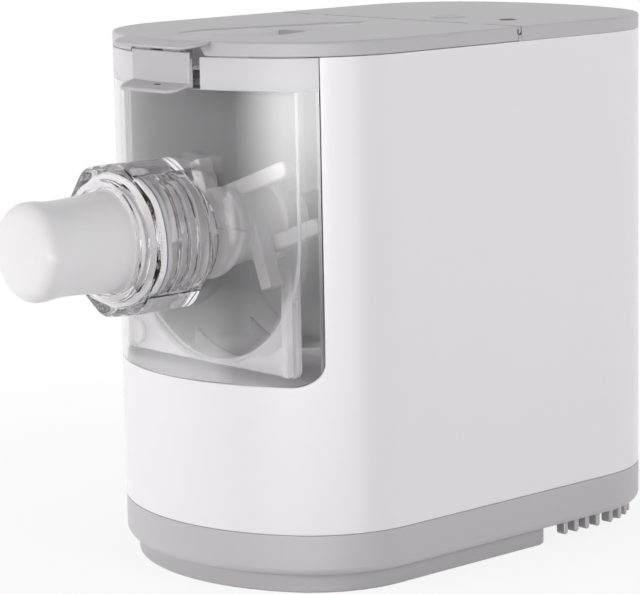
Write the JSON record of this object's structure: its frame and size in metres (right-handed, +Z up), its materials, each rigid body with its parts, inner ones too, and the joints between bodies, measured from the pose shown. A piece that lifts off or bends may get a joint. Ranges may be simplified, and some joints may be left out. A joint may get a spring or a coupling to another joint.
{
  "type": "electric pasta maker",
  "caption": "Electric pasta maker: oval upright housing with a hinged, latched lid, a see-through front with an extrusion barrel, screw-on nut, forming die and outlet cap.",
  "frame": {"origin": "on the floor under the centre of the body, without the nozzle", "axes": "+Z up; the nozzle points along -Y and the rear is +Y; +X is the long side that the picture shows"},
  "size_m": [0.19, 0.3891, 0.2821],
  "materials": {
    "white_shell": "gloss injection-moulded ABS",
    "grey_trim": "fine satin injection-moulded ABS",
    "plinth_grey": "satin injection-moulded ABS",
    "clear_panel": "clear polycarbonate",
    "clear_tub": "clear copolyester",
    "white_food": "semi-gloss food-grade acetal",
    "chamber_grey": "satin moulded ABS",
    "gearbox_grey": "glass-filled nylon",
    "gear_ivory": "natural acetal",
    "dark_plastic": "satin moulded nylon",
    "button_grey": "satin moulded ABS",
    "seal_rubber": "moulded silicone",
    "foot_rubber": "moulded rubber",
    "shaft_steel": "ground steel",
    "motor_steel": "zinc-plated steel",
    "bronze": "sintered bronze",
    "copper": "enamelled copper on a laminated core",
    "board_green": "lacquered circuit board"
  },
  "bodies": {
    "base": {"housing": "white_shell", "base_pan": "grey_trim", "plinth": "plinth_grey", "rubber_pads": "foot_rubber", "rear_feet": "foot_rubber", "rear_cover": "grey_trim", "chamber_frame": "chamber_grey", "mixing_tub": "clear_tub", "tub_gasket": "seal_rubber", "reed_switch": "board_green", "output_bearings": "bronze", "shaft_seal": "seal_rubber", "gearbox_case": "gearbox_grey", "gearbox_cover": "gearbox_grey", "counter_bearings": "bronze", "motor_can": "motor_steel", "motor_end_cap": "dark_plastic", "motor_bearings": "bronze", "motor_cradle": "chamber_grey", "control_board": "board_green", "power_board": "board_green", "power_inlet": "dark_plastic", "inlet_pins": "shaft_steel", "gearbox_screws": "shaft_steel", "base_screws": "shaft_steel"},
    "lid": {"lid": "grey_trim", "lid_gasket": "seal_rubber", "hinge_pins": "shaft_steel", "lid_magnet": "motor_steel"},
    "latch": {"lid_latch": "grey_trim", "latch_pin": "shaft_steel", "latch_spring": "shaft_steel"},
    "front_head": {"front_panel": "clear_panel", "extrusion_barrel": "clear_panel", "barrel_seal": "seal_rubber"},
    "die": {"forming_die": "white_food"},
    "nut": {"nozzle_nut": "clear_panel"},
    "cap": {"outlet_cap": "white_food"},
    "output": {"mixing_paddle": "white_food", "drive_coupler": "dark_plastic", "output_shaft": "shaft_steel", "output_gear": "gear_ivory"},
    "countershaft": {"counter_shaft": "shaft_steel", "counter_gear": "gear_ivory", "counter_pinion": "shaft_steel"},
    "rotor": {"armature": "copper", "motor_shaft": "shaft_steel", "motor_pinion": "shaft_steel", "cooling_fan": "white_food"},
    "start": {"start_button": "button_grey"},
    "power": {"power_button": "dark_plastic"}
  },
  "joints": [
    {"name": "lid_hinge", "type": "hinge", "parent": "base", "child": "lid", "pos_m": [0, 0.012, 0.2793], "axis": [-1, 0, 0], "range_deg": [0, 88]},
    {"name": "latch_pivot", "type": "hinge", "parent": "lid", "child": "latch", "pos_m": [0, -0.1415, 0.268], "axis": [-1, 0, 0], "range_deg": [0, 15], "stiffness_Nm_per_rad": 0.05, "springref_deg": -17.19},
    {"name": "front_pull", "type": "slide", "parent": "base", "child": "front_head", "axis": [0, -1, 0], "range_m": [0, 0.06]},
    {"name": "die_slide", "type": "slide", "parent": "front_head", "child": "die", "axis": [0, -1, 0], "range_m": [0, 0.0243]},
    {"name": "nut_turn", "type": "hinge", "parent": "die", "child": "nut", "pos_m": [0, -0.17, 0.1825], "axis": [0, -1, 0], "range_deg": [0, 1440]},
    {"name": "cap_pull", "type": "slide", "parent": "die", "child": "cap", "axis": [0, -1, 0], "range_m": [0, 0.045]},
    {"name": "output_spin", "type": "hinge", "parent": "base", "child": "output", "pos_m": [0, -0.06, 0.1825], "axis": [0, -1, 0], "continuous": true},
    {"name": "countershaft_spin", "type": "hinge", "parent": "base", "child": "countershaft", "pos_m": [0, -0.02, 0.13], "axis": [0, -1, 0], "continuous": true},
    {"name": "rotor_spin", "type": "hinge", "parent": "base", "child": "rotor", "pos_m": [0, 0.04, 0.094], "axis": [0, -1, 0], "continuous": true},
    {"name": "start_press", "type": "slide", "parent": "base", "child": "start", "axis": [0, 0, -1], "range_m": [0, 0.0015], "stiffness_N_per_m": 600, "springref_m": -0.001},
    {"name": "power_press", "type": "slide", "parent": "base", "child": "power", "axis": [0, 0, -1], "range_m": [0, 0.0015], "stiffness_N_per_m": 600, "springref_m": -0.001}
  ],
  "couplings": [
    {"joint": "die_slide", "follows": "nut_turn", "m_per_rad": 0.000955},
    {"joint": "countershaft_spin", "follows": "output_spin", "ratio": -4},
    {"joint": "rotor_spin", "follows": "output_spin", "ratio": 20}
  ]
}
